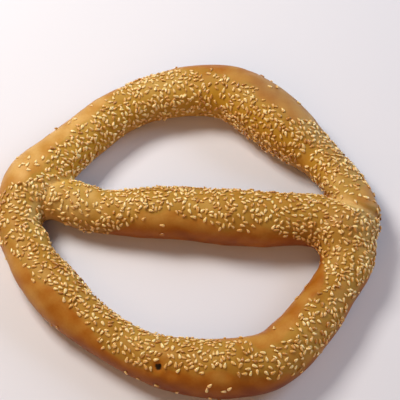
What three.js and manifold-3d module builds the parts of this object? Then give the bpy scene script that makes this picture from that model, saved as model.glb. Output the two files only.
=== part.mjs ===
import * as THREE from "three";
import { mergeVertices } from "three/addons/utils/BufferGeometryUtils.js";
import Module from "manifold-3d";

// Simit: a ring of baked dough rope with a crossbar, strewn with sesame.
// Millimetres. It lies on the table at z = 0 with its seeded side up, and the crossbar runs along X.

// Ring stations, one every 15 degrees from +X towards +Y:
// [centre-line radius, half-width, inner and outer limit of the seeded strip].
// Strip limits are degrees round the section from its crown, positive towards the outside.
const RING_STATIONS = [
  [87.8, 14.7, -90, 95],
  [88.2, 11.7, -95, 90],
  [82.8, 12.0, -100, 60],
  [79.5, 15.8, -110, 0],
  [81.7, 16.7, -110, -7],
  [86.0, 16.3, -110, 8],
  [85.7, 14.4, -100, 25],
  [83.4, 13.2, -95, 62],
  [81.9, 12.9, -95, 22],
  [80.6, 13.1, -95, -2],
  [82.8, 14.1, -90, 0],
  [90.0, 15.4, -85, -30],
  [91.8, 13.3, -90, 90],
  [87.3, 12.4, -90, 34],
  [81.9, 13.8, -85, 17],
  [79.9, 12.9, -80, 12],
  [79.4, 12.0, -75, 38],
  [81.6, 12.9, -70, 48],
  [84.7, 14.7, -65, 34],
  [89.2, 15.8, -26, 34],
  [91.4, 14.9, 0, 70],
  [87.0, 13.8, -24, 70],
  [86.0, 12.9, -25, 74],
  [87.4, 13.5, -85, 95],
];

// Crossbar stations from its tucked end to the end that laps over the ring:
// [x, y, half-width, seeded strip limits], positive limits towards -Y.
const BAR_STATIONS = [
  [-88, 15.0, 11.5, -75, 75],
  [-74, 15.3, 12.8, -80, 78],
  [-50, 7.2, 12.0, -80, 108],
  [-26, 5.4, 13.6, -85, 30],
  [-2, 4.6, 14.4, -85, 25],
  [22, 2.0, 15.3, -85, 52],
  [46, 0.8, 14.9, -85, 48],
  [70, -0.3, 14.3, -80, 100],
  [86, -3.5, 15.4, -70, 100],
  [101, 0.5, 13.5, -60, 90],
];

const RING_MIDDLE = [1.48, 0.7]; // where the ring's middle lies from the middle of the whole outline
const HEIGHT_TO_WIDTH = 0.93; // half-height of the oval section over its half-width
const CROWN_LIFT = 0.8; // height of the section's centre over its half-height, which flattens the base
const SECTION_SIDES = 16;
const RING_STEPS = 84;
const BAR_STEPS = 34;
const BAR_END_ROUNDING = 13; // length over which each end of the crossbar closes
const END_CROWDING = 0.1; // how strongly the crossbar's steps crowd towards its ends
const ROPE_SAMPLES = 240; // sections kept along a rope for finding the nearest one
const LENGTH_DIVISIONS = 400; // straight stretches that a centre line's length is measured by

const SEED_COUNT = 188;
const SEED_LENGTH = [2.9, 3.7];
const SEED_WIDTH_TO_LENGTH = 0.6;
const SEED_HEIGHT_TO_LENGTH = 0.5;
const SEED_SINK = 0.1; // how far a seed's middle lies under the crust
const SEED_SPACING = 5.6; // least distance between the middles of two seeds
const SEED_TAPER = 0.3; // how much narrower a seed's tip is than its middle
const SEED_TRIES = 60000;
const RANDOM_START = 20817;
const WIDEST_STRIP = THREE.MathUtils.degToRad(230);
const LOWEST_SEED = 2.5; // seeds lie at least this high over the table

const CRUST_COLOUR = "#b87a3a";
const CRUST_ROUGHNESS = 0.5;

const wasm = await Module();
wasm.setup();

function makeRandom(start) {
  let state = start;
  return () => {
    state = (state * 1664525 + 1013904223) % 2 ** 32;
    return state / 2 ** 32;
  };
}

// A rope: its centre line, the traits along it (half-width and strip limits) and how its ends close.
function makeRope(points, traits, closed, steps, endRounding) {
  const path = new THREE.CatmullRomCurve3(points, closed, "catmullrom");
  const traitCurve = new THREE.CatmullRomCurve3(traits, closed, "catmullrom");
  path.arcLengthDivisions = LENGTH_DIVISIONS;
  const rope = { path, traitCurve, closed, steps, endRounding, length: path.getLength() };
  rope.sections = Array.from({ length: ROPE_SAMPLES + 1 }, (_, i) => sectionAt(rope, i / ROPE_SAMPLES));
  return rope;
}

function ringRope() {
  const step = (2 * Math.PI) / RING_STATIONS.length;
  const points = RING_STATIONS.map(
    ([radius], i) => new THREE.Vector3(radius * Math.cos(i * step), radius * Math.sin(i * step), 0),
  );
  const traits = RING_STATIONS.map(([, halfWidth, inner, outer]) => new THREE.Vector3(halfWidth, inner, outer));
  return makeRope(points, traits, true, RING_STEPS, 0);
}

function barRope() {
  const points = BAR_STATIONS.map(([x, y]) => new THREE.Vector3(x, y, 0));
  const traits = BAR_STATIONS.map(([, , halfWidth, from, to]) => new THREE.Vector3(halfWidth, from, to));
  return makeRope(points, traits, false, BAR_STEPS, BAR_END_ROUNDING);
}

// Section of a rope at the fraction u of its length.
function sectionAt(rope, u) {
  const t = rope.path.getUtoTmapping(u);
  const [halfWidth, from, to] = rope.traitCurve.getPoint(t).toArray();
  const centre = rope.path.getPointAt(u);
  const side = new THREE.Vector3().crossVectors(rope.path.getTangentAt(u), new THREE.Vector3(0, 0, 1));
  let closing = 1;
  if (rope.endRounding > 0) {
    const toEnd = Math.min(u, 1 - u) * rope.length;
    const short = Math.max(0, 1 - toEnd / rope.endRounding);
    closing = Math.sqrt(1 - short * short);
  }
  const halfHeight = halfWidth * HEIGHT_TO_WIDTH;
  return {
    centre,
    side,
    halfWidth: halfWidth * closing,
    halfHeight: halfHeight * closing,
    lift: halfHeight * CROWN_LIFT,
    strip: [THREE.MathUtils.degToRad(from), THREE.MathUtils.degToRad(to)],
  };
}

// Point of a section at an angle from its crown, cut flat at the table.
function sectionPoint(section, angle) {
  const point = section.centre.clone().addScaledVector(section.side, section.halfWidth * Math.sin(angle));
  point.z = Math.max(0, section.lift + section.halfHeight * Math.cos(angle));
  return point;
}

// Closed geometry of a rope: a tube whose rings are moved onto the sections.
function ropeGeometry(rope) {
  const tube = new THREE.TubeGeometry(rope.path, rope.steps, 1, SECTION_SIDES, rope.closed);
  const position = tube.getAttribute("position");
  for (let i = 0; i < position.count; i++) {
    const ring = Math.floor(i / (SECTION_SIDES + 1));
    const corner = (SECTION_SIDES - (i % (SECTION_SIDES + 1))) % SECTION_SIDES;
    const even = rope.closed ? (ring % rope.steps) / rope.steps : ring / rope.steps;
    const crowded = even - (rope.closed ? 0 : END_CROWDING * Math.sin(2 * Math.PI * even));
    const point = sectionPoint(sectionAt(rope, crowded), (corner * 2 * Math.PI) / SECTION_SIDES);
    position.setXYZ(i, point.x, point.y, point.z);
  }
  return tube;
}

// Solid of a closed geometry: corners welded by position, triangles without area left out.
function solidOf(geometry) {
  const bare = new THREE.BufferGeometry();
  bare.setAttribute("position", geometry.getAttribute("position"));
  bare.setIndex(geometry.index);
  const welded = mergeVertices(bare, 1e-4);
  const corners = welded.index.array;
  const triangles = [];
  for (let i = 0; i < corners.length; i += 3) {
    const [a, b, c] = corners.slice(i, i + 3);
    if (a !== b && b !== c && c !== a) triangles.push(a, b, c);
  }
  const mesh = new wasm.Mesh({
    numProp: 3,
    vertProperties: new Float32Array(welded.getAttribute("position").array),
    triVerts: new Uint32Array(triangles),
  });
  return new wasm.Manifold(mesh);
}

// Whether a point of one rope's crust is buried in another rope.
function isBuried(point, rope) {
  let nearest = rope.sections[0];
  let least = Infinity;
  for (const section of rope.sections) {
    const distance = Math.hypot(point.x - section.centre.x, point.y - section.centre.y);
    if (distance < least) {
      least = distance;
      nearest = section;
    }
  }
  const across = least / nearest.halfWidth;
  const upward = (point.z - nearest.lift) / nearest.halfHeight;
  return across * across + upward * upward < 1;
}

// One sesame seed: a flat drop with its tip towards +X, lying across its own Z.
function seedGeometry(length) {
  const geometry = new THREE.IcosahedronGeometry(1, 0);
  const position = geometry.getAttribute("position");
  for (let i = 0; i < position.count; i++) {
    const taper = 1 - SEED_TAPER * position.getX(i);
    position.setXYZ(
      i,
      (position.getX(i) * length) / 2,
      (position.getY(i) * taper * length * SEED_WIDTH_TO_LENGTH) / 2,
      (position.getZ(i) * length * SEED_HEIGHT_TO_LENGTH) / 2,
    );
  }
  return geometry;
}

// A drawn place for a seed: a crust point in the seeded strip of a rope, with the crust's outward normal.
function drawPlace(ropes, random) {
  const whole = ropes.reduce((sum, rope) => sum + rope.length, 0);
  const rope = random() * whole < ropes[0].length ? ropes[0] : ropes[1];
  const section = sectionAt(rope, random());
  const [from, to] = section.strip;
  const angle = THREE.MathUtils.lerp(-WIDEST_STRIP / 2, WIDEST_STRIP / 2, random());
  const normal = section.side
    .clone()
    .multiplyScalar(Math.sin(angle) * HEIGHT_TO_WIDTH)
    .setZ(Math.cos(angle))
    .normalize();
  const point = sectionPoint(section, angle).addScaledVector(normal, -SEED_SINK);
  const inStrip = angle > from && angle < to && point.z > LOWEST_SEED;
  const buried = ropes.some((other) => other !== rope && isBuried(point, other));
  return inStrip && !buried ? { point, normal } : null;
}

// Seeds strewn over the strips, the largest first, each at least the spacing from the others.
function strewSeeds(ropes, random) {
  const lengths = Array.from({ length: SEED_COUNT }, () => THREE.MathUtils.lerp(...SEED_LENGTH, random()));
  lengths.sort((a, b) => b - a);
  const seeds = [];
  for (let tries = 0; tries < SEED_TRIES && seeds.length < lengths.length; tries++) {
    const place = drawPlace(ropes, random);
    if (!place || seeds.some((seed) => seed.point.distanceTo(place.point) < SEED_SPACING)) continue;
    seeds.push({ ...place, length: lengths[seeds.length], heading: random() * 2 * Math.PI });
  }
  return seeds;
}

function seedSolid({ point, normal, length, heading }) {
  const turn = new THREE.Quaternion().setFromUnitVectors(new THREE.Vector3(0, 0, 1), normal);
  const spin = new THREE.Quaternion().setFromAxisAngle(new THREE.Vector3(0, 0, 1), heading);
  const geometry = seedGeometry(length).applyQuaternion(turn.multiply(spin));
  return solidOf(geometry.translate(point.x, point.y, point.z));
}

const ropes = [ringRope(), barRope()];
const random = makeRandom(RANDOM_START);
let dough = solidOf(ropeGeometry(ropes[0])).add(solidOf(ropeGeometry(ropes[1])));
for (const seed of strewSeeds(ropes, random)) dough = dough.add(seedSolid(seed));

const solid = dough.getMesh();
const geometry = new THREE.BufferGeometry();
geometry.setAttribute("position", new THREE.BufferAttribute(new Float32Array(solid.vertProperties), 3));
geometry.setIndex(new THREE.BufferAttribute(new Uint32Array(solid.triVerts), 1));
geometry.translate(...RING_MIDDLE, 0);
geometry.computeVertexNormals();

const crust = new THREE.MeshStandardMaterial({
  color: CRUST_COLOUR,
  roughness: CRUST_ROUGHNESS,
  metalness: 0,
});
const simit = new THREE.Mesh(geometry, crust);
simit.name = "simit";

const part = new THREE.Group();
part.name = "simit_with_crossbar";
part.add(simit);

export default part;
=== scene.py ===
"""Looks of a sesame simit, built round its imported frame.

The crust is one closed surface over the ring and its crossbar, and the sesame lies on it as separate seeds.
Lengths are worked out in millimetres and turned to metres where a mesh is made. Places in the tables are
measured from the ring's middle.
"""

import math

import bpy
import numpy as np
from bpy.props import FloatProperty, FloatVectorProperty, IntProperty, PointerProperty
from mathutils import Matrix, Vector


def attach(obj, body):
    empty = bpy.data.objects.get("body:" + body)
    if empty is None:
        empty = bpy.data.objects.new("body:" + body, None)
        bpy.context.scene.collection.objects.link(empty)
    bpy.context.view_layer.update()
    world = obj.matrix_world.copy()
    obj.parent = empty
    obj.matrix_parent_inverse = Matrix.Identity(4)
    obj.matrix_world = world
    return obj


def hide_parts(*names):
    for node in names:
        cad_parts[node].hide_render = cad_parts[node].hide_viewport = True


bl_info = {
    "name": "Sesame Simit",
    "version": (1, 0, 0),
    "blender": (4, 5, 0),
    "location": "View3D > Sidebar > Simit",
    "description": "Builds a simit with a crossbar: its crust, its sesame and a plain stage",
    "category": "Add Mesh",
}

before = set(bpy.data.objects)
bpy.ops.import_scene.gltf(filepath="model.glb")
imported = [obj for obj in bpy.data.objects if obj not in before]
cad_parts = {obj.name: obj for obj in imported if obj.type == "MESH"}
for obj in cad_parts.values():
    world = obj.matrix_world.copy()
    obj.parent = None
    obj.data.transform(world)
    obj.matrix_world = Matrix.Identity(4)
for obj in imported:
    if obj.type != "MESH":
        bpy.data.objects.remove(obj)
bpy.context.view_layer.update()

MM = 0.001

RING_MIDDLE = (1.48, 0.70)  # the ring's middle, from the middle of the whole outline

# Ring stations, one every 15 degrees from +X towards +Y:
# centre-line radius, half-width, inner and outer limit of the seeded strip, seeds per square centimetre.
# Strip limits are degrees round the section from its crown, positive towards the outside.
RING_STATIONS = (
    (87.8, 14.7, -90, 95, 30),
    (88.2, 11.7, -95, 85, 25.5),
    (82.8, 12.0, -100, 75, 25.5),
    (79.5, 15.8, -110, 2, 25),
    (81.7, 16.7, -110, -5, 41),
    (86.0, 16.3, -110, 6, 19),
    (85.7, 14.4, -100, 25, 17),
    (83.4, 13.2, -95, 62, 40),
    (81.9, 12.9, -95, 22, 35),
    (80.6, 13.1, -95, 2, 22),
    (82.8, 14.1, -90, 0, 66),
    (90.0, 15.4, -85, -23, 72),
    (91.8, 13.3, -90, 85, 17.1),
    (87.3, 12.4, -90, 35, 17),
    (81.9, 13.8, -85, 17, 36),
    (79.9, 12.9, -80, 12, 17.6),
    (79.4, 12.0, -75, 38, 26),
    (81.6, 12.9, -70, 50, 21.5),
    (84.7, 14.7, -65, 35, 15.2),
    (89.2, 15.8, -32, 34, 19.5),
    (91.4, 14.9, -6, 70, 10.5),
    (87.0, 13.8, -20, 76, 15.5),
    (86.0, 12.9, -25, 76, 14.5),
    (87.4, 13.5, -80, 78, 29),
)

# Crossbar stations from its tucked end to the end that laps over the ring:
# x, y, half-width, seeded strip limits (positive towards -Y), seeds per square centimetre.
BAR_STATIONS = (
    (-88.0, 15.0, 11.5, -75, 75, 16),
    (-74.0, 15.3, 12.8, -80, 62, 14.5),
    (-50.0, 7.2, 12.0, -80, 108, 11.9),
    (-26.0, 5.4, 13.6, -85, 30, 32),
    (-2.0, 4.6, 14.4, -85, 25, 28),
    (22.0, 2.0, 15.3, -85, 52, 16.7),
    (46.0, 0.8, 14.9, -85, 48, 16.0),
    (70.0, -0.3, 14.3, -80, 100, 36),
    (86.0, -3.5, 15.4, -70, 100, 31),
    (101.0, 0.5, 13.5, -60, 90, 26),
)

HEIGHT_TO_WIDTH = 0.93  # half-height of a rope's oval section over its half-width
CROWN_LIFT = 0.8  # height of the section's centre over its half-height
BAR_END_ROUNDING = 13.0
BAR_END_CAP = 0.999  # share of that rounding at which an end is closed by a small flat cap
BASE_EDGE_ROUNDING = 2.6

# Seams, as x, y points along each: where one rope was pressed against another.
LAPPED_SEAM = ((73.5, 16.5), (77.5, 10.0), (83.0, 5.6), (88.8, 2.0), (94.4, 0.0), (103.0, -1.0))
LAPPED_SEAM_WIDTH = 2.6  # half-width of the groove
TUCKED_SEAM = ((-60.0, 27.0), (-68.5, 21.5), (-75.5, 16.5), (-79.5, 7.0), (-79.5, -4.0))
TUCKED_SEAM_WIDTH = 2.2
TUCKED_SEAM_SHARE = 0.6  # its depth over the lapped seam's
RELIEF_HEIGHTS = (7, 15)  # seams and dimples fade in between these heights over the table

# The crossbar melts more widely into the ring in the inner corner at its lapped end, and a little where it is
# tucked in.
CORNER_FROM = (52, 66)  # comes in along +X
CORNER_UNTIL = (78, 90)  # goes out along +X
CORNER_SIDE = (2, 12)  # comes in along -Y
TUCKED_FROM = (56, 66)  # comes in along -X
TUCKED_SHARE = 0.4  # of the corner's widening

# Soft waves, as random start, shortest and longest wave, and number of waves.
LUMPS = (4, 22, 60, 14)
RIPPLES = (9, 8, 16, 14)
BROAD_BAKE = (21, 25, 70, 12)
FINE_BAKE = (22, 6, 16, 16)
BASE_BAKE = (23, 10, 30, 10)
STRIP_WANDER = (31, 9, 22, 16)
SEED_CLUMPS = (32, 7, 18, 18)
WAVE_PEAK = 1.2  # sum of waves that counts as 1, over the square root of their number
RIPPLE_SHARE = 0.3  # height of the ripples over that of the lumps

# How the skin is drawn and settled onto the crust.
RING_STEPS = 360  # sections in the ring's first grid
BAR_STEPS = 130
ROPE_SIDES = 48
LINE_SAMPLES = 2000  # points along the crossbar when its length is measured
NEAREST_ROUNDS = 5
NEAREST_LIMIT = 0.4  # stations moved in one round at most
LEAN_STEP = 0.01  # stations between the two points that give a centre line's direction
SLOPE_STEP = 0.05  # distance between the two points that give the crust's slope
LEAST_STEEPNESS = 0.05  # square of the slope under which points settle more slowly
NEVER_ZERO = 1e-9  # keeps the distance defined on the centre line itself
SETTLE_ROUNDS = 4
SETTLE_LIMIT = 1.0  # distance moved in one round at most

# Browning of the crust, from 0 (pale) to 1 (dark), with painted light and shade worked into it.
CROWN_BROWNING = 0.36
SIDE_BROWNING_AND_SHADE = 0.42  # what the sides have more than the crown: partly baked, partly painted shade
SIDE_ANGLES = (35, 100)  # degrees from the crown over which it comes in
ARCH_INSIDE_PAINTED_LIGHT = 0.35  # share of it that the arch's inner side lacks: painted light there
ARCH_FROM = (10, 40)  # comes in along +Y
LEFT_OUTSIDE_PAINTED_SHEEN = 0.6  # share of it that the outer side on the left lacks: a painted sheen there
LEFT_FROM = (40, 70)  # comes in along -X
LEFT_UNTIL = (0, 30)  # goes out along +Y
BROAD_UNEVENNESS = 0.10
FINE_UNEVENNESS = 0.09
SEAM_PALING = 0.62
SEAM_PALE_HEIGHTS = (8, 16)
LAPPED_PALE_WIDTH = 2.4
LAPPED_PALE_UNTIL = (84, 98)  # goes out along +X
TUCKED_PALE_WIDTH = 2.6
TUCKED_PALE_STRENGTH = 1.1  # over the lapped seam's
TUCKED_PALE_FROM = (8, 16)  # comes in along +Y
BASE_NORMAL = -0.8  # where the normal points further down than this, the crust is the base
BASE_BROWNING = 0.45
BASE_UNEVENNESS = 0.1

# Marks on the crust, as x, y, radius and strength: positive ones are browner, negative ones paler.
# Some are burnt specks and uneven baking. Many are painted light and shade: paler marks paint light onto the
# arch's inner side, the crossbar's tucked root and the inner corner at the right, and browner ones paint
# shade onto crowns, the crossbar, the near side and the right seam's crease.
BAKE_MARKS_AND_PAINTED_LIGHT = (
    (-60, 58, 22, -0.16),
    (-56, 47, 12, -0.12),
    (-84, -22, 16, 0.10),
    (-98, -26, 9, -0.24),
    (-84, -50, 9, -0.20),
    (-88, 10, 14, -0.02),
    (62, 36, 9, -0.30),
    (73, 22, 8, -0.42),
    (94, 24, 8, -0.14),
    (-66, -2, 14, -0.48),
    (-38, 1, 13, -0.12),
    (-17, -2, 12, -0.12),
    (-80, 5, 6, -0.25),
    (-10, 78, 15, -0.20),
    (-5, 73, 10, -0.10),
    (-36, 62, 11, -0.14),
    (-62, 34, 8, -0.10),
    (-81, -3, 7, -0.12),
    (73, 42, 10, 0.06),
    (-14, 15, 9, 0.12),
    (10, 14, 9, 0.14),
    (34, 12, 9, 0.14),
    (56, 11, 9, 0.10),
    (62, -62, 10, 0.14),
    (75, -43, 10, 0.10),
    (10, 98, 16, 0.20),
    (-100, 28, 14, -0.24),
    (-70, -34, 16, 0.22),
    (-60, -54, 12, 0.10),
    (-22, -72, 9, -0.12),
    (86, -12, 14, 0.08),
    (80, -3, 12, 0.12),
    (56, 4, 18, 0.17),
    (76, 0, 9, 0.16),
    (95, 7, 6, 0.20),
    (76.0, 16.5, 2.2, 0.45),
    (98, -30, 12, -0.20),
    (72, -72, 14, -0.16),
    (24, -101, 12, 0.10),
    (35, -98, 20, 0.20),
    (-8, -94, 14, 0.18),
    (-55, -70, 16, 0.12),
    (46, 70, 22, 0.12),
    (66, -51, 3.0, 0.35),
    (71, -40, 2.2, 0.2),
    (87, -28, 2.5, 0.25),
    (31, -85, 2.2, 0.22),
    (-69.5, 40, 2.2, 0.3),
)

# Painted reflection of pale surroundings on the glaze: greyer places, as x, y, radius and how much.
PAINTED_REFLECTION_PLACES = (
    (94, 25, 11, 0.25),
    (80, 46, 12, 0.25),
    (64, 64, 13, 0.28),
    (46, 79, 14, 0.34),
    (26, 90, 10, 0.10),
    (94, -8, 13, 0.25),
)
MOST_PAINTED_REFLECTION = 0.6

# Painted warm bounce light: yellower places on the ring's inner side, as x, y, radius and how much.
WARM_BOUNCE_PLACES = (
    (70, 30, 12, 0.5),
    (57, 48, 12, 0.6),
    (38, 62, 12, 0.6),
    (15, 71, 13, 0.6),
    (-10, 74, 13, 0.5),
    (-33, 65, 12, 0.5),
    (-50, 51, 12, 0.6),
    (-62, 36, 12, 0.7),
    (-71, 21, 9, 0.5),
)
WARM_BOUNCE_ANGLES = (-10, 40)  # degrees from the crown to the inside over which they come in
MOST_WARM_BOUNCE = 0.7

# A little burnt pit in the near side.
PIT_PLACE = (-15.8, -88.9, 20.2)
PIT_RADIUS = 2.5
PIT_DEPTH = 1.8
PIT_CHAR = 1.75  # radius that is burnt black
PIT_RIM = (1.2, 0.85)  # shares of that radius between which the black comes in
PIT_RAGGEDNESS = 1.6
PIT_WOBBLE = 1.6  # size of the ragged rim's waves
CHAR_COLOUR = "#0e0705"

# Dimples, as x, y, radius and depth.
DIMPLES = (
    (-10.5, -92.5, 2.4, 0.5),
    (18.2, -95.5, 2.6, 0.6),
    (29.8, -96.0, 2.4, 0.5),
    (31.0, -85.0, 1.8, 0.4),
)

# Places where the dough was pressed in or swells out, as x, y, radius and depth (swellings are negative).
PRESSED_PLACES = (
    (86, -8, 10.5, -1.1),
    (101, 6, 6.5, -0.9),
    (98, 17, 6, -0.8),
    (103, -11, 7.5, 1.7),
    (98, -32, 10, -0.9),
    (60, -90, 10, 0.8),
    (29, -104, 10, 1.1),
    (-77, -1, 6, 1.7),
    (-78, -9, 5, -0.9),
    (17, 66, 12, 0.8),
    (40, -15, 7, -0.6),
    (57, -16, 6.5, 1.0),
    (67, -21, 5, -0.9),
    (43, -64, 5.5, -0.9),
)

# Places where the sesame is missing, as x, y, radius and how much of it.
BARE_PLACES = (
    (62.5, 35.9, 6.0, 1.0),
    (97.0, 14.5, 5.5, 1.3),
    (99.5, 7.5, 5.5, 1.4),
    (92.5, 7.5, 4.2, 1.3),
    (82.0, 8.5, 2.8, 1.0),
    (-15.8, -89.0, 3.4, 1.5),
)

# Seeds that lie alone on the bare crust, as ring station and angle from the crown.
LONE_SEEDS = (
    (10.3, -3),
    (10.55, -4),
    (10.73, 18),
    (10.73, 0),
    (10.78, -7),
    (10.9, 9),
    (10.92, 17),
    (10.98, 22),
    (11.0, 0),
    (11.2, -11),
    (4.07, 28),
    (16.72, 89),
    (17.0, 92),
    (17.42, 87),
    (17.85, 93),
    (18.52, 95),
    (18.45, 66),
    (18.75, 68),
    (18.85, 62),
    (18.5, 55),
    (17.3, 21),
    (0.43, -4),
    (0.38, 14),
    (0.32, 27),
)

# One sesame seed, and how two of them keep apart.
SEED_TAPER = 0.5  # share by which the tip is narrowed and the butt widened
SEED_FULLNESS = 0.85  # power of the sine that gives its outline
SEED_FLATNESS = 0.8  # power of its outline that gives its thickness
SEED_STEPS = 6
SEED_SIDES = 7
SEED_SIZE_SPREAD = 0.09
SEED_SIZES = (0.75, 1.25)
SEED_WIDTHS = (0.92, 1.08)
SEED_THICKNESSES = (0.9, 1.1)
DISC_OFFSET = 0.25  # a seed's two discs lie this share of its length from its middle
DISC_ROOM = 0.47  # least distance between discs of two seeds, as a share of a seed's length
SEED_LEAN = 0.10  # how far a seed's upright strays from the crust's normal
ON_TOP_ROOM = 0.45  # for a seed that lies on others, over DISC_ROOM
ON_TOP_LEAN = 0.30
ON_TOP_LIFT = 0.55  # its middle over the crust, as a share of its thickness

# How the sesame is strewn.
CANDIDATES = 80.0  # drawn for each square centimetre
FULL_STREWING = 12.0  # seeds wanted on a square centimetre where the painted shade between them is fullest
LOWEST_SEED = 2.0  # over the table
STRIP_WANDERING = 9  # degrees by which a strip's edges wander
INNER_FADE = 6  # degrees over which a strip fades, to either side of its inner limit
OUTER_FADE = 7
CLUMPING = 0.55  # share of the density by which it goes up and down
STRAY_SEEDS = 0.12  # on each square centimetre, also outside the strips
STRAY_ANGLE = 110
LAPPED_BARENESS = 1.4
TUCKED_BARENESS = 0.8
TUCKED_BARE_FROM = (11.3, 17.3)  # comes in along +Y
SQUARE_CENTIMETRE = 100.0  # in square millimetres
CELL = 4.0  # seeds further apart than this never touch
AROUND = [(dx, dy, dz) for dx in (-1, 0, 1) for dy in (-1, 0, 1) for dz in (-1, 0, 1)]

# How far a seed is toasted, from 0 (cream) to 1 (brown).
LEAST_TOAST = 0.28  # the mean on the palest crust
TOAST_WITH_CRUST = 0.55  # more where the crust is brown, its painted light and shade included
TOAST_SPREAD = 0.26
LONE_TOAST = 0.4  # a lone seed's toast over another's
SEED_CROWN_LIGHT_AND_RIM_GLAZE = 0.15  # a seed's crown is paler than its rim by this, and its underside browner: partly glaze at the rim, partly painted light and shade
SEED_PALING = 0.05  # all over

# Patterns in the crust's colour.
CLOUD_SIZE = 7.0
CLOUD_SHARE = 0.28
GRAIN_SIZE = 1.1
GRAIN_SHARE = 0.14
GRAIN_HEIGHT = 0.12  # of the bumps that it makes
SEED_SHADE_SHARE = 0.5  # how far the crust between seeds takes the colour of the painted shade and warm bounce there
SHEEN_COLOUR = "#dcc094"

# The view from above the near side, in metres and degrees.
CAMERA_PLACE = (0.00696, -0.35959, 0.65801)
CAMERA_ELEVATION = 60.0
CAMERA_LENS = 123.2
CAMERA_NEAREST = 0.01
TABLE_SIDE = 6.0
TABLE_DROP = 0.0002  # the tabletop lies this far under the base, so that the two never fight
TABLE_ROUGHNESS = 0.7
ROOM_COLOUR = "#ffffff"
ROOM_STRENGTH = 0.13
# Lamps as name, place, aim, size, watts and colour.
LAMPS = (
    ("window_behind", (-0.45, 0.41, 0.70), (0, 0, 0), (0.385, 0.29), 8.2, "#fff9ed"),
    ("fill_front", (-0.4, -1.4, 1.2), (0, 0, 0), (1.2, 1.2), 9.2, "#ffc07c"),
    ("fill_right", (1.6, 0.8, 0.95), (0, 0, 0), (1.2, 1.2), 24.0, "#d7eaff"),
)


def ring_points():
    """Ring stations as rows of x, y, half-width and the strip's limits and density."""
    table = np.array(RING_STATIONS, float)
    turn = np.arange(len(table)) * 2 * np.pi / len(table)
    across = np.stack([table[:, 0] * np.cos(turn), table[:, 0] * np.sin(turn)], 1) + RING_MIDDLE
    return np.hstack([across, table[:, 1:]])


def bar_points():
    """Crossbar stations as rows of x, y, half-width and the strip's limits and density."""
    table = np.array(BAR_STATIONS, float)
    table[:, :2] += RING_MIDDLE
    return table


RING_ROWS = ring_points()
BAR_ROWS = bar_points()


def along_stations(rows, place, closed):
    """Rows at fractional station numbers.

    Each stretch is the cubic through its two stations that leans, at each, along the line between that
    station's neighbours. An open row of stations is continued straight past its ends.
    """
    count = len(rows)
    if closed:
        first = np.floor(place).astype(int)
        picks = [(first + k) % count for k in (-1, 0, 1, 2)]
    else:
        rows = np.vstack([2 * rows[0] - rows[1], rows, 2 * rows[-1] - rows[-2]])
        first = np.clip(np.floor(place).astype(int), 0, count - 2)
        picks = [first + k for k in (0, 1, 2, 3)]
    t = (place - first)[:, None]
    before, start, end, after = (rows[k] for k in picks)
    return 0.5 * (
        2 * start
        + (end - before) * t
        + (2 * before - 5 * start + 4 * end - after) * t**2
        + (after - before + 3 * (start - end)) * t**3
    )


def length_along(line):
    """Length from the start of a line to each of its points."""
    return np.concatenate([[0], np.cumsum(np.linalg.norm(np.diff(line, axis=0), axis=1))])


def bar_end_places():
    """Fractional station numbers where the crossbar's rounded ends begin."""
    place = np.linspace(0, len(BAR_ROWS) - 1, LINE_SAMPLES)
    run = length_along(along_stations(BAR_ROWS, place, False)[:, :2])
    return np.interp([BAR_END_ROUNDING, run[-1] - BAR_END_ROUNDING], run, place)


BAR_SPAN = bar_end_places()


def nearest_place(rows, points, closed):
    """Fractional station number of the centre-line point that is nearest to each point, seen from above.

    It starts from the point's direction on the ring, or from its x on the crossbar. Each round moves it by
    the product of the gap and the centre line's lean, over the lean's square.
    """
    if closed:
        turn = np.arctan2(points[:, 1] - RING_MIDDLE[1], points[:, 0] - RING_MIDDLE[0])
        place = (turn / (2 * np.pi) % 1) * len(rows)
    else:
        place = np.interp(points[:, 0], rows[:, 0], np.arange(len(rows)))
    for _ in range(NEAREST_ROUNDS):
        here = along_stations(rows, place, closed)[:, :2]
        lean = (along_stations(rows, place + LEAN_STEP, closed)[:, :2] - here) / LEAN_STEP
        step = ((points[:, :2] - here) * lean).sum(1) / (lean**2).sum(1)
        place = place + np.clip(step, -NEAREST_LIMIT, NEAREST_LIMIT)
        place = place % len(rows) if closed else np.clip(place, *BAR_SPAN)
    return place


def line_and_way(rows, place, closed):
    """Rows at fractional station numbers, and the centre line's direction there, 1 long."""
    here = along_stations(rows, place, closed)
    way = along_stations(rows, place + LEAN_STEP, closed)[:, :2] - here[:, :2]
    return here, way / np.linalg.norm(way, axis=1)[:, None]


def rope_field(rows, points, closed):
    """Distance of points from one rope's oval, negative inside, with their place and angle from the crown.

    The oval is half-width across by half-height up, and past the crossbar's ends its rounding along. With k1
    the length of the offset over the half-sizes and k2 that over their squares, the distance is
    k1 (k1 - 1) / k2.
    """
    place = nearest_place(rows, points, closed)
    here, way = line_and_way(rows, place, closed)
    gap = points[:, :2] - here[:, :2]
    outward = gap[:, 0] * way[:, 1] - gap[:, 1] * way[:, 0]
    forward = (gap * way).sum(1) if not closed else np.zeros(len(points))
    width = here[:, 2]
    height = width * HEIGHT_TO_WIDTH
    upward = points[:, 2] - height * CROWN_LIFT
    k1 = np.sqrt((outward / width) ** 2 + (upward / height) ** 2 + (forward / BAR_END_ROUNDING) ** 2)
    k2 = np.sqrt((outward / width**2) ** 2 + (upward / height**2) ** 2 + (forward / BAR_END_ROUNDING**2) ** 2)
    angle = np.degrees(np.arctan2(outward / width, upward / height))
    return k1 * (k1 - 1) / np.maximum(k2, NEVER_ZERO), place, angle


def pit_middle():
    """The burnt pit's middle, from the middle of the whole outline."""
    return np.array([*np.add(PIT_PLACE[:2], RING_MIDDLE), PIT_PLACE[2]])


def smooth_step(value, low, high):
    """0 up to low, 1 from high on, and t squared times (3 - 2 t) between, t being the share of the way."""
    t = np.clip((value - low) / (high - low), 0, 1)
    return t * t * (3 - 2 * t)


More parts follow.
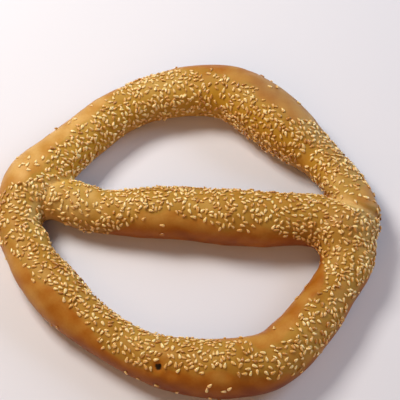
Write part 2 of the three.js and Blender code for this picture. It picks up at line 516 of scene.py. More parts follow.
def near_line(points, corners, width):
    """1 on a line of corners seen from above, falling off as exp(-(distance / width)^2)."""
    corners = np.array(corners, float) + RING_MIDDLE
    best = np.full(len(points), np.inf)
    for start, end in zip(corners[:-1], corners[1:]):
        side = end - start
        share = np.clip(((points[:, :2] - start) @ side) / (side @ side), 0, 1)
        best = np.minimum(best, np.linalg.norm(points[:, :2] - start - share[:, None] * side, axis=1))
    return np.exp(-((best / width) ** 2))


def spots(points, table):
    """Soft round marks: each row of x, y, radius and strength adds strength exp(-(distance / radius)^2)."""
    total = np.zeros(len(points))
    for x, y, radius, strength in table:
        gap = points[:, :2] - (x + RING_MIDDLE[0], y + RING_MIDDLE[1])
        total += strength * np.exp(-(gap**2).sum(1) / radius**2)
    return total


def soft_waves(points, start, shortest, longest, count):
    """Smooth unevenness from -1 to 1: sine waves of random lengths, directions and phases, summed."""
    draw = np.random.default_rng(start)
    total = np.zeros(len(points))
    for _ in range(count):
        way = draw.normal(size=3)
        way *= 2 * np.pi / (draw.uniform(shortest, longest) * np.linalg.norm(way))
        total += np.sin(points @ way + draw.uniform(0, 2 * np.pi))
    return np.clip(total / (WAVE_PEAK * math.sqrt(count)), -1, 1)


def crust_field(points, dough):
    """Distance of points from the baked crust, negative inside, then three traits of each point.

    The traits are whether it is on the crossbar, its place along its rope and its angle from the crown. The
    two ropes' distances are joined by a smooth least value: the lesser one, less a quarter of the blend
    length times the square of how close the two are, as a share of that length. Seams press in, and the base
    is cut flat in the same smooth way.
    """
    ring, ring_place, ring_angle = rope_field(RING_ROWS, points, True)
    bar, bar_place, bar_angle = rope_field(BAR_ROWS, points, False)
    x, y, z = (points - [*RING_MIDDLE, 0]).T
    corner = smooth_step(x, *CORNER_FROM) * (1 - smooth_step(x, *CORNER_UNTIL))
    corner *= smooth_step(-y, *CORNER_SIDE)
    wide = np.maximum(corner, TUCKED_SHARE * smooth_step(-x, *TUCKED_FROM))
    blend = (dough.seam_blend + (dough.corner_blend - dough.seam_blend) * wide) / MM
    closeness = np.clip(1 - np.abs(ring - bar) / blend, 0, 1)
    field = np.minimum(ring, bar) - closeness**2 * blend / 4
    high = smooth_step(z, *RELIEF_HEIGHTS)
    depth = dough.seam_depth / MM
    field += depth * high * near_line(points, LAPPED_SEAM, LAPPED_SEAM_WIDTH)
    field += TUCKED_SEAM_SHARE * depth * high * near_line(points, TUCKED_SEAM, TUCKED_SEAM_WIDTH)
    field += spots(points, DIMPLES) * high + spots(points, PRESSED_PLACES)
    from_pit = np.linalg.norm(points - pit_middle(), axis=1)
    field += PIT_DEPTH * np.exp(-((from_pit / PIT_RADIUS) ** 2))
    lump = dough.unevenness / MM
    field -= lump * soft_waves(points, *LUMPS) + RIPPLE_SHARE * lump * soft_waves(points, *RIPPLES)
    closeness = np.clip(1 - np.abs(field + z) / BASE_EDGE_ROUNDING, 0, 1)
    field = np.maximum(field, -z) + closeness**2 * BASE_EDGE_ROUNDING / 4
    on_bar = bar < ring
    return field, on_bar, np.where(on_bar, bar_place, ring_place), np.where(on_bar, bar_angle, ring_angle)


def field_and_slope(points, dough):
    """The crust's distance, its slope by small steps along each axis, and the points' traits."""
    here, *traits = crust_field(points, dough)
    ahead = [crust_field(points + SLOPE_STEP * axis, dough)[0] for axis in np.eye(3)]
    return here, np.stack([(field - here) / SLOPE_STEP for field in ahead], 1), traits


def settle(points, dough, rounds):
    """Points moved onto the crust, with its normals and their traits.

    Each round moves a point against the slope, by the slope times the distance over the slope's square.
    """
    for _ in range(rounds):
        here, slope, _ = field_and_slope(points, dough)
        steep = np.maximum((slope**2).sum(1), LEAST_STEEPNESS)
        points = points - slope * np.clip(here / steep, -SETTLE_LIMIT, SETTLE_LIMIT)[:, None]
    _, slope, traits = field_and_slope(points, dough)
    return points, slope / np.linalg.norm(slope, axis=1)[:, None], traits


def rope_grid(rows, closed, steps, sides):
    """A rope's section carried along its centre line, on a grid of place by angle.

    Each section is the oval (half-width times the sine, half-height times the cosine) cut flat at the table.
    Towards the crossbar's ends it shrinks as the square root of one less the square of how far it is into the
    rounding.
    """
    turn = np.arange(sides) * 2 * np.pi / sides
    count = len(rows)
    if closed:
        place = np.arange(steps) * count / steps
        shrink = np.ones(steps)
    else:
        place = np.linspace(0, count - 1, steps)
        run = length_along(along_stations(rows, place, False)[:, :2])
        into = np.clip(1 - np.minimum(run, run[-1] - run) / BAR_END_ROUNDING, 0, BAR_END_CAP)
        shrink = np.sqrt(1 - into**2)
    here = along_stations(rows, place, closed)
    last = np.inf if closed else count - 1
    first = -np.inf if closed else 0
    ahead = along_stations(rows, np.minimum(place + LEAN_STEP, last), closed)[:, :2]
    behind = along_stations(rows, np.maximum(place - LEAN_STEP, first), closed)[:, :2]
    way = (ahead - behind) / np.linalg.norm(ahead - behind, axis=1)[:, None]
    outward = np.stack([way[:, 1], -way[:, 0]], 1)
    width = here[:, 2]
    height = width * HEIGHT_TO_WIDTH
    across = (width * shrink)[:, None] * np.sin(turn)
    grid = np.empty((steps, sides, 3))
    grid[..., :2] = here[:, None, :2] + outward[:, None] * across[..., None]
    grid[..., 2] = np.maximum(0, (height * CROWN_LIFT)[:, None] + (height * shrink)[:, None] * np.cos(turn))
    return grid


def grid_faces(steps, sides, closed):
    """Four-cornered faces of a grid that closes round its sides, and along its steps too if closed."""
    last = steps if closed else steps - 1
    i, j = np.meshgrid(np.arange(last), np.arange(sides), indexing="ij")
    after, beside = (i + 1) % steps, (j + 1) % sides
    corners = [i * sides + j, after * sides + j, after * sides + beside, i * sides + beside]
    return np.stack(corners, -1).reshape(-1, 4)


def mesh_points(mesh):
    """A mesh's points in millimetres."""
    flat = np.empty(len(mesh.vertices) * 3)
    mesh.vertices.foreach_get("co", flat)
    return flat.reshape(-1, 3) / MM


def set_trait(mesh, name, values):
    """Stores one number for each point of the mesh, for its material to read."""
    trait = mesh.attributes.new(name, "FLOAT", "POINT")
    trait.data.foreach_set("value", np.asarray(values, np.float32))


def add_piece(name, data):
    """A new object of the scene that holds a mesh, a lamp or a camera."""
    piece = bpy.data.objects.new(name, data)
    bpy.context.scene.collection.objects.link(piece)
    return piece


def linear(hex_colour):
    """An sRGB hex colour as linear red, green, blue and full alpha."""
    channels = [int(hex_colour[k : k + 2], 16) / 255 for k in (1, 3, 5)]
    return (*(c / 12.92 if c <= 0.04045 else ((c + 0.055) / 1.055) ** 2.4 for c in channels), 1.0)


def draw_skin(dough):
    """The crust's mesh in even four-cornered faces, with its points, their normals and their traits.

    Both ropes' grids go through one voxel remesh, and its points are then moved onto the crust.
    """
    corners, faces, count = [], [], 0
    for rows, closed, steps in ((RING_ROWS, True, RING_STEPS), (BAR_ROWS, False, BAR_STEPS)):
        grid = rope_grid(rows, closed, steps, ROPE_SIDES)
        corners.append(grid.reshape(-1, 3))
        faces += (grid_faces(steps, ROPE_SIDES, closed) + count).tolist()
        if not closed:
            faces.append([count + k for k in reversed(range(ROPE_SIDES))])
            faces.append([count + (steps - 1) * ROPE_SIDES + k for k in range(ROPE_SIDES)])
        count += steps * ROPE_SIDES
    draft = bpy.data.meshes.new("rope_grids")
    draft.from_pydata((np.vstack(corners) * MM).tolist(), [], faces)
    piece = add_piece("rope_grids", draft)
    even = piece.modifiers.new("even_faces", "REMESH")
    even.mode = "VOXEL"
    even.voxel_size = dough.face_size
    skin = bpy.data.meshes.new_from_object(piece.evaluated_get(bpy.context.evaluated_depsgraph_get()))
    bpy.data.objects.remove(piece)
    bpy.data.meshes.remove(draft)
    points, normals, traits = settle(mesh_points(skin), dough, SETTLE_ROUNDS)
    skin.vertices.foreach_set("co", (points * MM).ravel())
    skin.shade_smooth()
    skin.update()
    return skin, points, normals, traits


def browning_and_shade(points, normals, traits):
    """How brown each point is painted, from 0 (pale) to 1 (dark): the oven's browning with painted light and
    shade.

    The sides are browner than the crown, partly baked and partly painted shade, and less so inside the arch
    and outside the left bulge, where light and a sheen are painted. Soft waves and the table of marks make it
    uneven, the marks also painting light and shade, pressed seams stay pale, and the base has a level of its
    own.
    """
    angle = traits[2]
    x, y, z = (points - [*RING_MIDDLE, 0]).T
    # Painted shade on the sides, with less of it inside the arch and on the left bulge to paint light and
    # sheen there.
    side = smooth_step(np.abs(angle), *SIDE_ANGLES)
    side *= 1 - ARCH_INSIDE_PAINTED_LIGHT * (angle < 0) * smooth_step(y, *ARCH_FROM)
    side *= 1 - LEFT_OUTSIDE_PAINTED_SHEEN * (angle > 0) * smooth_step(-x, *LEFT_FROM) * (1 - smooth_step(y, *LEFT_UNTIL))
    brown = CROWN_BROWNING + SIDE_BROWNING_AND_SHADE * side
    brown += BROAD_UNEVENNESS * soft_waves(points, *BROAD_BAKE)
    brown += FINE_UNEVENNESS * soft_waves(points, *FINE_BAKE)
    # Baking marks, and painted light and shade.
    brown += spots(points, BAKE_MARKS_AND_PAINTED_LIGHT)
    lapped = near_line(points, LAPPED_SEAM, LAPPED_PALE_WIDTH) * (1 - smooth_step(x, *LAPPED_PALE_UNTIL))
    tucked = near_line(points, TUCKED_SEAM, TUCKED_PALE_WIDTH) * smooth_step(y, *TUCKED_PALE_FROM)
    pale = np.maximum(lapped, TUCKED_PALE_STRENGTH * tucked)
    brown -= SEAM_PALING * pale * smooth_step(z, *SEAM_PALE_HEIGHTS)
    base = BASE_BROWNING + BASE_UNEVENNESS * soft_waves(points, *BASE_BAKE)
    return np.clip(np.where(normals[:, 2] < BASE_NORMAL, base, brown), 0, 1)


def seed_shape(steps, sides):
    """One sesame seed 1 long, 1 wide and 1 thick, as points, four-cornered faces and three-cornered ones.

    At t from 0 (tip) to 1 (butt) its middle is at x = -cos(pi t) / 2. Its outline is a power of sin(pi t).
    Its half-width is half the outline times one less the taper times cos(pi t), scaled to 1 wide, and its
    half-thickness is half of a power of the outline. Both ends close in a point.
    """
    t = np.arange(1, steps) / steps
    turn = np.arange(sides) * 2 * np.pi / sides
    outline = np.sin(np.pi * t) ** SEED_FULLNESS
    wide = 0.5 * outline * (1 - SEED_TAPER * np.cos(np.pi * t))
    wide *= 0.5 / wide.max()
    rows = np.empty((len(t), sides, 3))
    rows[..., 0] = (-0.5 * np.cos(np.pi * t))[:, None]
    rows[..., 1] = wide[:, None] * np.cos(turn)
    rows[..., 2] = (0.5 * outline**SEED_FLATNESS)[:, None] * np.sin(turn)
    points = np.vstack([[[-0.5, 0, 0]], rows.reshape(-1, 3), [[0.5, 0, 0]]])
    quads = grid_faces(len(t), sides, False)[:, ::-1] + 1
    tip = [[0, 1 + (k + 1) % sides, 1 + k] for k in range(sides)]
    last = 1 + (len(t) - 1) * sides
    butt = [[len(points) - 1, last + k, last + (k + 1) % sides] for k in range(sides)]
    return points, quads, np.array(tip + butt)


def draw_candidates(skin, draw):
    """Points drawn at random over the skin's faces, by area, as many as the thickest strewing could need."""
    skin.calc_loop_triangles()
    corners = np.empty(len(skin.loop_triangles) * 3, int)
    skin.loop_triangles.foreach_get("vertices", corners)
    triangles = mesh_points(skin)[corners.reshape(-1, 3)]
    sides = triangles[:, 1:] - triangles[:, :1]
    area = np.linalg.norm(np.cross(sides[:, 0], sides[:, 1]), axis=1) / 2
    count = int(area.sum() / SQUARE_CENTIMETRE * CANDIDATES)
    pick = draw.choice(len(area), count, p=area / area.sum())
    share = np.sort(draw.random((count, 2)), axis=1)
    weights = np.stack([share[:, 0], share[:, 1] - share[:, 0], 1 - share[:, 1]], 1)
    return (triangles[pick] * weights[..., None]).sum(1)


def lone_places():
    """Where the lone seeds lie: points of the ring's oval sections at their stations and angles."""
    place, angle = np.array(LONE_SEEDS, float).T
    here, way = line_and_way(RING_ROWS, place, True)
    across = (here[:, 2] * np.sin(np.radians(angle)))[:, None] * np.stack([way[:, 1], -way[:, 0]], 1)
    height = here[:, 2] * HEIGHT_TO_WIDTH
    return np.column_stack([here[:, :2] + across, height * (CROWN_LIFT + np.cos(np.radians(angle)))])


def seeds_wanted(points, traits):
    """Seeds per square centimetre wanted at each point.

    It is the strip's own density, fading at its wandering edges and gathered in loose clumps, less what the
    seams and the bare places lack, and a few stray seeds nearly everywhere.
    """
    on_bar, place, angle = traits
    ring = along_stations(RING_ROWS, np.where(on_bar, 0, place), True)[:, 3:]
    bar = along_stations(BAR_ROWS, np.where(on_bar, place, 1), False)[:, 3:]
    inner, outer, wanted = np.where(on_bar[:, None], bar, ring).T
    angle = angle + STRIP_WANDERING * soft_waves(points, *STRIP_WANDER)
    inside = smooth_step(angle, inner - INNER_FADE, inner + INNER_FADE)
    inside *= 1 - smooth_step(angle, outer - OUTER_FADE, outer + OUTER_FADE)
    clumps = 1 + CLUMPING * soft_waves(points, *SEED_CLUMPS)
    high = smooth_step(points[:, 1] - RING_MIDDLE[1], *TUCKED_BARE_FROM)
    bare = np.clip(spots(points, BARE_PLACES), 0, 1)
    lapped = np.minimum(1, LAPPED_BARENESS * near_line(points, LAPPED_SEAM, LAPPED_SEAM_WIDTH))
    tucked = TUCKED_BARENESS * near_line(points, TUCKED_SEAM, TUCKED_SEAM_WIDTH) * high
    bare = np.maximum(bare, np.maximum(lapped, tucked))
    stray = STRAY_SEEDS * (np.abs(angle) < STRAY_ANGLE)
    return (wanted * inside * clumps * (1 - bare) + stray) * (points[:, 2] > LOWEST_SEED)


def strew(skin, dough, sesame):
    """Seeds' middles, crust normals, headings, sizes, which lie on top, and the random draws to go on with.

    Candidates are taken in turn. Each seed is two discs along its length, and a seed whose discs would come
    over another's is left out. The few that lie on top may come closer.
    """
    draw = np.random.default_rng(sesame.random_start)
    points = np.vstack([lone_places(), draw_candidates(skin, draw)])
    _, *traits = crust_field(points, dough)
    keep = draw.random(len(points)) < seeds_wanted(points, traits) * sesame.plenty / CANDIDATES
    keep[: len(LONE_SEEDS)] = True
    points, normals, _ = settle(points[keep], dough, 1)
    count = len(points)
    size = np.clip(draw.normal(1, SEED_SIZE_SPREAD, count), *SEED_SIZES)
    heading = draw.normal(size=(count, 3))
    heading -= normals * (heading * normals).sum(1)[:, None]
    heading /= np.linalg.norm(heading, axis=1)[:, None]
    on_top = draw.random(count) < sesame.piled
    length = sesame.length / MM * size
    half = heading * (length * DISC_OFFSET)[:, None]
    discs = np.stack([points - half, points + half], 1)
    room = length * DISC_ROOM * np.where(on_top, ON_TOP_ROOM, 1)
    cells = np.floor(points / CELL).astype(int)
    taken, kept_in = [], {}
    for k in range(count):
        x, y, z = cells[k]
        near = [j for dx, dy, dz in AROUND for j in kept_in.get((x + dx, y + dy, z + dz), ())]
        gaps = np.linalg.norm(discs[near][:, :, None] - discs[k], axis=-1)
        if gaps.size and gaps.min() < room[k]:
            continue
        taken.append(k)
        kept_in.setdefault((x, y, z), []).append(k)
    return points[taken], normals[taken], heading[taken], size[taken], on_top[taken], draw


def seed_mesh(skin, dough, sesame):
    """All seeds in one mesh: the seed shape set on each one's heading, side and slightly leaning upright."""
    points, normals, heading, size, on_top, draw = strew(skin, dough, sesame)
    count = len(points)
    lean = np.where(on_top, ON_TOP_LEAN, SEED_LEAN)[:, None]
    upright = normals + lean * draw.normal(size=(count, 3))
    upright /= np.linalg.norm(upright, axis=1)[:, None]
    heading = heading - upright * (heading * upright).sum(1)[:, None]
    heading /= np.linalg.norm(heading, axis=1)[:, None]
    across = np.cross(upright, heading)
    length = sesame.length / MM * size
    width = length * sesame.width_to_length * draw.uniform(*SEED_WIDTHS, count)
    thick = length * sesame.thickness_to_length * draw.uniform(*SEED_THICKNESSES, count)
    lift = thick * np.where(on_top, ON_TOP_LIFT, 0.5 - sesame.sink)
    shape, quads, triangles = seed_shape(SEED_STEPS, SEED_SIDES)
    frames = np.stack([heading * length[:, None], across * width[:, None], upright * thick[:, None]], 1)
    places = points + normals * lift[:, None]
    corners = (places[:, None] + np.einsum("pk,nkc->npc", shape, frames)).reshape(-1, 3)
    shift = np.arange(count)[:, None, None] * len(shape)
    faces = (shift + quads).reshape(-1, 4).tolist() + (shift + triangles).reshape(-1, 3).tolist()
    mesh = bpy.data.meshes.new("sesame_seeds")
    mesh.from_pydata((corners * MM).tolist(), [], faces)
    mesh.shade_smooth()
    # The crust's browning here carries its painted light and shade over to the seeds.
    brown = browning_and_shade(points, normals, crust_field(points, dough)[1:])
    toast = np.clip(draw.normal(LEAST_TOAST + TOAST_WITH_CRUST * brown, TOAST_SPREAD), 0, 1)
    toast[: len(LONE_SEEDS)] *= LONE_TOAST
    set_trait(mesh, "toast", np.repeat(toast, len(shape)))
    set_trait(mesh, "crown", np.tile(np.clip(shape[:, 2] * 2, -1, 1), count))
    return mesh


def set_inputs(node, values):
    """Sets a node's inputs, by name or number."""
    for key, value in values.items():
        node.inputs[key].default_value = value


def add_node(tree, kind, links, values, **settings):
    """Adds a node with its settings, sets some of its inputs to values and links others to sockets."""
    node = tree.nodes.new(kind)
    for key, value in settings.items():
        setattr(node, key, value)
    set_inputs(node, values)
    for key, socket in links.items():
        tree.links.new(socket, node.inputs[key])
    return node


def read_trait(tree, name):
    """The socket of a number that every point of the mesh carries."""
    return add_node(tree, "ShaderNodeAttribute", {}, {}, attribute_name=name).outputs["Fac"]


def read_noise(tree, place, size, detail, roughness):
    """A noise node whose waves are of a size in millimetres."""
    values = {"Scale": 1 / (size * MM), "Detail": detail, "Roughness": roughness}
    return add_node(tree, "ShaderNodeTexNoise", {"Vector": place}, values)


def mix_in(tree, share, colour, other):
    """The colour's socket after a share of another, fixed colour is mixed in."""
    return add_node(tree, "ShaderNodeMix", {0: share, 6: colour}, {7: other}, data_type="RGBA").outputs[2]


def add_share(tree, socket, share, other):
    """The socket of one number times a share, plus another number."""
    links = {0: socket, 2: other}
    return add_node(tree, "ShaderNodeMath", links, {1: share}, operation="MULTIPLY_ADD").outputs[0]


def colour_ramp(tree, level, stops):
    """The colour's socket of a ramp with stops at positions from 0 to 1."""
    ramp = add_node(tree, "ShaderNodeValToRGB", {"Fac": level}, {})
    elements = ramp.color_ramp.elements
    while len(elements) < len(stops):
        elements.new(0.5)
    for element, (position, colour) in zip(elements, stops):
        element.position = position
        element.color = colour
    return ramp.outputs["Color"]


def start_material(name):
    """A new material, its node tree and its surface shader."""
    material = bpy.data.materials.new(name)
    material.use_nodes = True
    return material, material.node_tree, material.node_tree.nodes["Principled BSDF"]


def burnt_share(tree, place):
    """The socket that is 1 in the pit's char and 0 round it, with a ragged rim."""
    wobble = read_noise(tree, place, PIT_WOBBLE, detail=1.0, roughness=0.5)
    reach = {1: [PIT_RAGGEDNESS * MM] * 3}
    links = {0: wobble.outputs["Color"], 2: place}
    ragged = add_node(tree, "ShaderNodeVectorMath", links, reach, operation="MULTIPLY_ADD")
    middle = {1: (pit_middle() + PIT_RAGGEDNESS / 2) * MM}
    gap = add_node(tree, "ShaderNodeVectorMath", {0: ragged.outputs[0]}, middle, operation="DISTANCE")
    rim = {"From Min": PIT_RIM[0] * PIT_CHAR * MM, "From Max": PIT_RIM[1] * PIT_CHAR * MM}
    return add_node(tree, "ShaderNodeMapRange", {"Value": gap.outputs["Value"]}, rim).outputs[0]


def crust_material(look):
    """Baked wheat crust with a thin satin glaze: golden crown, chestnut low on the sides, finely grained,
    with painted light, shade and reflection in its colour.
    """
    material, tree, shader = start_material("baked_wheat_crust_satin_glaze")
    place = add_node(tree, "ShaderNodeTexCoord", {}, {}).outputs["Object"]
    cloud = read_noise(tree, place, CLOUD_SIZE, detail=3.0, roughness=0.6).outputs["Fac"]
    grain = read_noise(tree, place, GRAIN_SIZE, detail=2.0, roughness=0.55).outputs["Fac"]
    level = add_share(tree, cloud, CLOUD_SHARE, read_trait(tree, "browning_and_shade"))
    level = add_share(tree, grain, GRAIN_SHARE, level)
    patterns_mean = {1: (CLOUD_SHARE + GRAIN_SHARE) / 2}
    level = add_node(tree, "ShaderNodeMath", {0: level}, patterns_mean, operation="SUBTRACT").outputs[0]
    stops = ((0.0, look.pale), (0.3, look.golden), (0.62, look.amber), (1.0, look.chestnut))
    colour = colour_ramp(tree, level, stops)
    # Painted shade and warm bounce from the seeds, on the crust between them.
    seeded = read_trait(tree, "seeded")
    seed_shade = add_node(tree, "ShaderNodeMath", {0: seeded}, {1: SEED_SHADE_SHARE}, operation="MULTIPLY").outputs[0]
    colour = mix_in(tree, seed_shade, colour, look.between_seeds_shade)
    # Painted warm bounce light on the ring's inner side.
    colour = mix_in(tree, read_trait(tree, "warm_bounce"), colour, look.bounce_tint)
    # Painted reflection: greyer where the glaze mirrors pale surroundings.
    colour = mix_in(tree, read_trait(tree, "painted_reflection"), colour, look.reflection_tint)
    colour = mix_in(tree, burnt_share(tree, place), colour, linear(CHAR_COLOUR))
    tree.links.new(colour, shader.inputs["Base Color"])
    relief = {"Strength": 0.25, "Distance": GRAIN_HEIGHT * MM}
    bump = add_node(tree, "ShaderNodeBump", {"Height": grain}, relief)
    tree.links.new(bump.outputs["Normal"], shader.inputs["Normal"])
    # Satin: a broad, soft sheen with the crust's own warm tint.
    set_inputs(shader, {"Roughness": look.crust_roughness, "IOR": 1.45})
    set_inputs(shader, {"Specular Tint": linear(SHEEN_COLOUR)})
    return material


def seed_material(look):
    """Hulled sesame, toasted in the oven: cream on its crown, golden to light brown towards its rim, partly
    glaze and partly painted light and shade.
    """
    material, tree, shader = start_material("toasted_hulled_sesame")
    # Paler on the crown, browner at the rim: partly glaze, partly painted light and shade.
    level = add_share(tree, read_trait(tree, "crown"), -SEED_CROWN_LIGHT_AND_RIM_GLAZE, read_trait(tree, "toast"))
    paler = {1: -SEED_PALING}
    level = add_node(tree, "ShaderNodeMath", {0: level}, paler, operation="ADD", use_clamp=True).outputs[0]
    stops = ((0.0, look.seed_cream), (0.55, look.seed_gold), (1.0, look.seed_brown))
    tree.links.new(colour_ramp(tree, level, stops), shader.inputs["Base Color"])
    # Oily and slightly see-through: a small bright glint, and light that spreads warm inside the seed.
    set_inputs(shader, {"Roughness": 0.3, "IOR": 1.47, "Coat Weight": 0.5, "Coat Roughness": 0.22})
    set_inputs(shader, {"Subsurface Weight": 0.3, "Subsurface Radius": (1.0, 0.55, 0.2)})
    set_inputs(shader, {"Subsurface Scale": 0.8 * MM})
    return material


class SimitDough(bpy.types.PropertyGroup):
    """Sizes of the dough."""

    seam_blend: FloatProperty(
        name="Seam Blend",
        description="How widely the ropes melt together",
        default=0.0028,
        min=0.0005,
        unit="LENGTH",
    )
    corner_blend: FloatProperty(
        name="Corner Blend",
        description="The same in the inner corner where the crossbar turns into the ring",
        default=0.011,
        min=0.0005,
        unit="LENGTH",
    )
    seam_depth: FloatProperty(
        name="Seam Depth", description="How deep the pressed seams go", default=0.0022, min=0, unit="LENGTH"
    )
    unevenness: FloatProperty(
        name="Unevenness", description="Height of the soft lumps", default=0.00045, min=0, unit="LENGTH"
    )
    face_size: FloatProperty(
        name="Face Size", description="Side of the crust's faces", default=0.00095, min=0.0005, unit="LENGTH"
    )


class SimitSesame(bpy.types.PropertyGroup):
    """Sizes and plenty of the sesame."""

    length: FloatProperty(
        name="Seed Length", description="Mean length of a seed", default=0.00292, min=0.001, unit="LENGTH"
    )
    width_to_length: FloatProperty(
        name="Width", description="Width over length", default=0.57, min=0.1, max=1, subtype="FACTOR"
    )
    thickness_to_length: FloatProperty(
        name="Thickness", description="Thickness over length", default=0.36, min=0.1, max=1, subtype="FACTOR"
    )
    sink: FloatProperty(
        name="Sink", description="Share that is in the crust", default=0.24, min=0, max=0.5, subtype="FACTOR"
    )
    piled: FloatProperty(
        name="Piled", description="Share that lies on others", default=0.06, min=0, max=1, subtype="FACTOR"
    )
    plenty: FloatProperty(
        name="Plenty",
        description="Seeds strewn over those wanted, as some find no room",
        default=2.05,
        min=0,
        max=4,
        subtype="FACTOR",
    )
    random_start: IntProperty(
        name="Random Start", description="Start of the random draws", default=61, min=0, subtype="UNSIGNED"
    )


class SimitLook(bpy.types.PropertyGroup):
    """Colours and gloss."""

    pale: FloatVectorProperty(
        name="Pale Crust", description="Least baked crust", size=4, subtype="COLOR", default=linear("#d6ac68")
    )
    golden: FloatVectorProperty(
        name="Golden Crust", description="The crown", size=4, subtype="COLOR", default=linear("#b9843a")
    )
    amber: FloatVectorProperty(
        name="Amber Crust", description="Browner crust", size=4, subtype="COLOR", default=linear("#a15d12")
    )
    chestnut: FloatVectorProperty(
        name="Chestnut Crust", description="Darkest crust", size=4, subtype="COLOR", default=linear("#7c3804")
    )
    # Colour of the shade and warm bounce painted between seeds.
    between_seeds_shade: FloatVectorProperty(
        name="Crust Under Sesame",
        description="Oily crust between seeds",
        size=4,
        subtype="COLOR",
        default=linear("#9f8031"),
    )
    # Colour of the reflection of pale surroundings painted on the glaze.
    reflection_tint: FloatVectorProperty(
        name="Dull Crust",
        description="Greyer crust where the glaze is thin",
        size=4,
        subtype="COLOR",
        default=linear("#988463"),
    )
    # Colour of the warm bounce light painted on the ring's inner side.
    bounce_tint: FloatVectorProperty(
        name="Yellow Crust",
        description="Yellower crust on the inner side",
        size=4,
        subtype="COLOR",
        default=linear("#c08e1e"),
    )
    seed_cream: FloatVectorProperty(
        name="Cream Sesame", description="Palest sesame", size=4, subtype="COLOR", default=linear("#f2d494")
    )
    seed_gold: FloatVectorProperty(
        name="Golden Sesame", description="Toasted sesame", size=4, subtype="COLOR", default=linear("#d9a656")
    )
    seed_brown: FloatVectorProperty(
        name="Brown Sesame", description="Darkest sesame", size=4, subtype="COLOR", default=linear("#a66620")
    )
    table: FloatVectorProperty(
        name="Table", description="Pale tabletop", size=4, subtype="COLOR", default=linear("#dcdbe4")
    )
    crust_roughness: FloatProperty(
        name="Roughness", description="How matt the glaze is", default=0.48, min=0, max=1, subtype="FACTOR"
    )


class SIMIT_OT_crust(bpy.types.Operator):
    """Add the ring and its crossbar as one closed crust"""

    bl_idname = "simit.crust"
    bl_label = "Add Crust"

    def execute(self, context):
        scene = context.scene
        skin, points, normals, traits = draw_skin(scene.simit_dough)
        skin.name = "simit_crust"
        angle = traits[2]
        # Painted warm bounce light on the ring's inner side.
        warm_bounce = spots(points, WARM_BOUNCE_PLACES) * smooth_step(-angle, *WARM_BOUNCE_ANGLES)
        set_trait(skin, "browning_and_shade", browning_and_shade(points, normals, traits))
        set_trait(skin, "warm_bounce", np.clip(warm_bounce, 0, MOST_WARM_BOUNCE))
        # Painted reflection of pale surroundings.
        set_trait(skin, "painted_reflection", np.clip(spots(points, PAINTED_REFLECTION_PLACES), 0, MOST_PAINTED_REFLECTION))
        # Painted shade and warm bounce between seeds.
        set_trait(skin, "seeded", np.clip(seeds_wanted(points, traits) / FULL_STREWING, 0, 1))
        skin.materials.clear()
        skin.materials.append(crust_material(scene.simit_look))
        crust = add_piece("simit_crust", skin)
        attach(crust, "root")
        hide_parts("simit")
        return {"FINISHED"}


class SIMIT_OT_sesame(bpy.types.Operator):
    """Strew the sesame over the crust, as one piece"""

    bl_idname = "simit.sesame"
    bl_label = "Add Sesame"

    def execute(self, context):
        scene = context.scene
        skin = bpy.data.objects["simit_crust"].data
        mesh = seed_mesh(skin, scene.simit_dough, scene.simit_sesame)
        mesh.materials.append(seed_material(scene.simit_look))
        seeds = add_piece("sesame_seeds", mesh)
        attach(seeds, "root")
        return {"FINISHED"}


def add_table(look):
    """The pale tabletop, a matt painted sheet just under the base."""
    half = TABLE_SIDE / 2
    corners = [(-half, -half), (half, -half), (half, half), (-half, half)]
    mesh = bpy.data.meshes.new("table")
    mesh.from_pydata([(x, y, -TABLE_DROP) for x, y in corners], [], [(0, 1, 2, 3)])
    paint, _, shader = start_material("matt_painted_tabletop")
    set_inputs(shader, {"Base Color": look.table, "Roughness": TABLE_ROUGHNESS})
    mesh.materials.append(paint)
    table = add_piece("table", mesh)


def add_softbox(name, place, aim, size, power, colour):
    """A rectangular lamp at a place in metres, turned towards its aim."""
    lamp = bpy.data.lights.new(name, "AREA")
    lamp.shape = "RECTANGLE"
    lamp.size, lamp.size_y = size
    lamp.energy = power
    lamp.color = linear(colour)[:3]
    holder = add_piece(name, lamp)
    holder.location = place
    holder.rotation_euler = (Vector(aim) - Vector(place)).to_track_quat("-Z", "Y").to_euler()


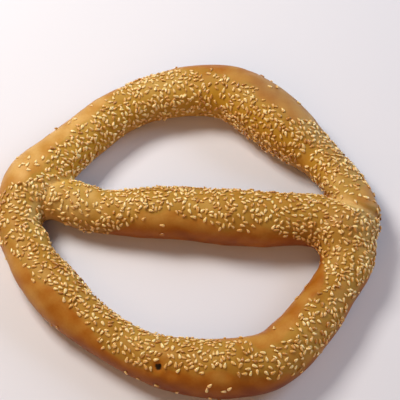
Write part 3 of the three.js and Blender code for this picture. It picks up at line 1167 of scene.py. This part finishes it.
def add_room(scene):
    """A dim, even light from all round, as from pale walls."""
    world = bpy.data.worlds.new("pale_room")
    world.use_nodes = True
    set_inputs(world.node_tree.nodes["Background"], {"Color": linear(ROOM_COLOUR), "Strength": ROOM_STRENGTH})
    scene.world = world
    scene.view_settings.view_transform = "Standard"


def add_camera(scene):
    """The camera, looking down over the near side."""
    eye = bpy.data.cameras.new("camera")
    eye.lens = CAMERA_LENS
    eye.clip_start = CAMERA_NEAREST
    camera = add_piece("camera", eye)
    camera.location = CAMERA_PLACE
    camera.rotation_euler = (math.radians(90 - CAMERA_ELEVATION), 0, 0)
    scene.camera = camera


class SIMIT_OT_stage(bpy.types.Operator):
    """Add the pale table, soft lamps and camera"""

    bl_idname = "simit.stage"
    bl_label = "Add Stage"

    def execute(self, context):
        add_table(context.scene.simit_look)
        for lamp in LAMPS:
            add_softbox(*lamp)
        add_room(context.scene)
        add_camera(context.scene)
        return {"FINISHED"}


class SIMIT_PT_panel(bpy.types.Panel):
    """Buttons for the simit's pieces"""

    bl_label = "Simit"
    bl_idname = "SIMIT_PT_panel"
    bl_space_type = "VIEW_3D"
    bl_region_type = "UI"
    bl_category = "Simit"

    def draw(self, context):
        layout = self.layout
        for operator in (SIMIT_OT_stage, SIMIT_OT_crust, SIMIT_OT_sesame):
            layout.operator(operator.bl_idname)
        for group in (context.scene.simit_dough, context.scene.simit_sesame, context.scene.simit_look):
            box = layout.box()
            for name in group.__annotations__:
                box.prop(group, name)


GROUPS = {"simit_dough": SimitDough, "simit_sesame": SimitSesame, "simit_look": SimitLook}
CLASSES = (*GROUPS.values(), SIMIT_OT_stage, SIMIT_OT_crust, SIMIT_OT_sesame, SIMIT_PT_panel)


def register():
    """Registers the classes and gives every scene its groups of settings."""
    for one in CLASSES:
        bpy.utils.register_class(one)
    for name, group in GROUPS.items():
        setattr(bpy.types.Scene, name, PointerProperty(type=group))


def unregister():
    """Takes back what register did."""
    for name in GROUPS:
        delattr(bpy.types.Scene, name)
    for one in reversed(CLASSES):
        bpy.utils.unregister_class(one)


def main():
    """Builds the stage and the simit."""
    register()
    bpy.ops.simit.stage()
    bpy.ops.simit.crust()
    bpy.ops.simit.sesame()


if __name__ == "__main__":
    main()
